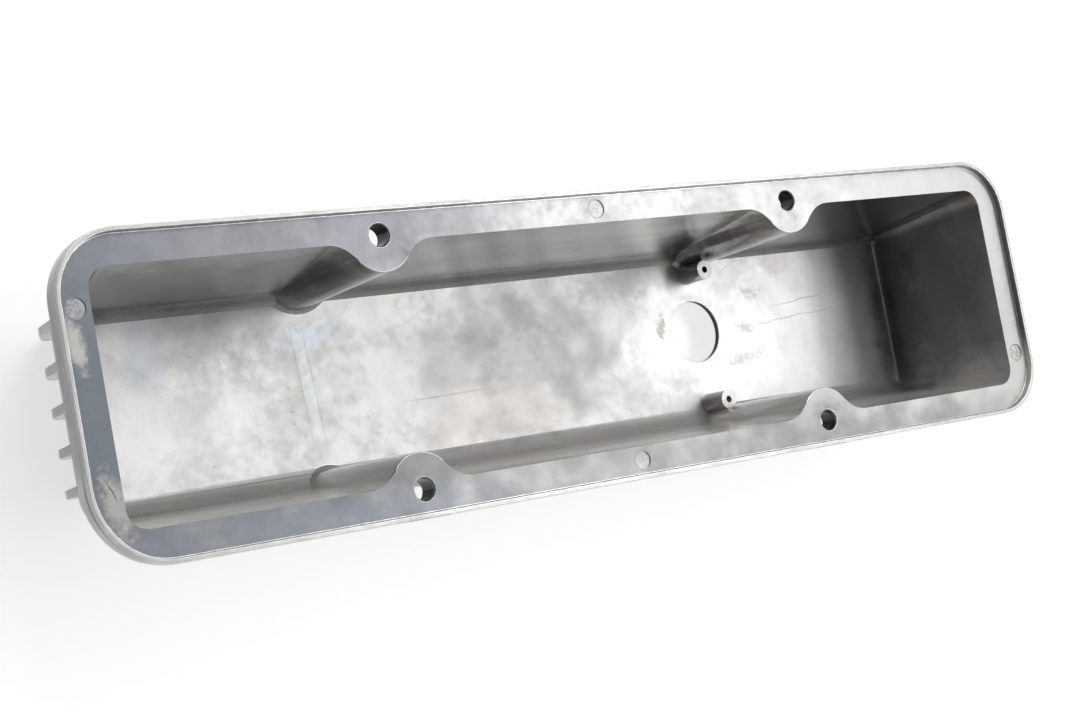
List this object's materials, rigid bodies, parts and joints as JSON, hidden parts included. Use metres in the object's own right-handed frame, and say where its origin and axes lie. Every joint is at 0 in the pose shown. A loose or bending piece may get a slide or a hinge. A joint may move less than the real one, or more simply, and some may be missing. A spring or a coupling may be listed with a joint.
{
  "type": "engine valve cover",
  "caption": "Long cast trough with a flat gasket rim, lobed bolt holes, a breather hole, screw posts inside and lengthwise cooling fins on its top.",
  "frame": {"origin": "centre of the four bolt holes, in the plane of the gasket face", "axes": "+X along the cover, +Y across it, +Z out of the open side, so the fins point to -Z and the part lies on their tips"},
  "size_m": [0.47, 0.1184, 0.086],
  "materials": {
    "cast_aluminium": "as cast, unpolished, with handling stains"
  },
  "bodies": {
    "root": {"valve_cover": "cast_aluminium"}
  },
  "joints": []
}
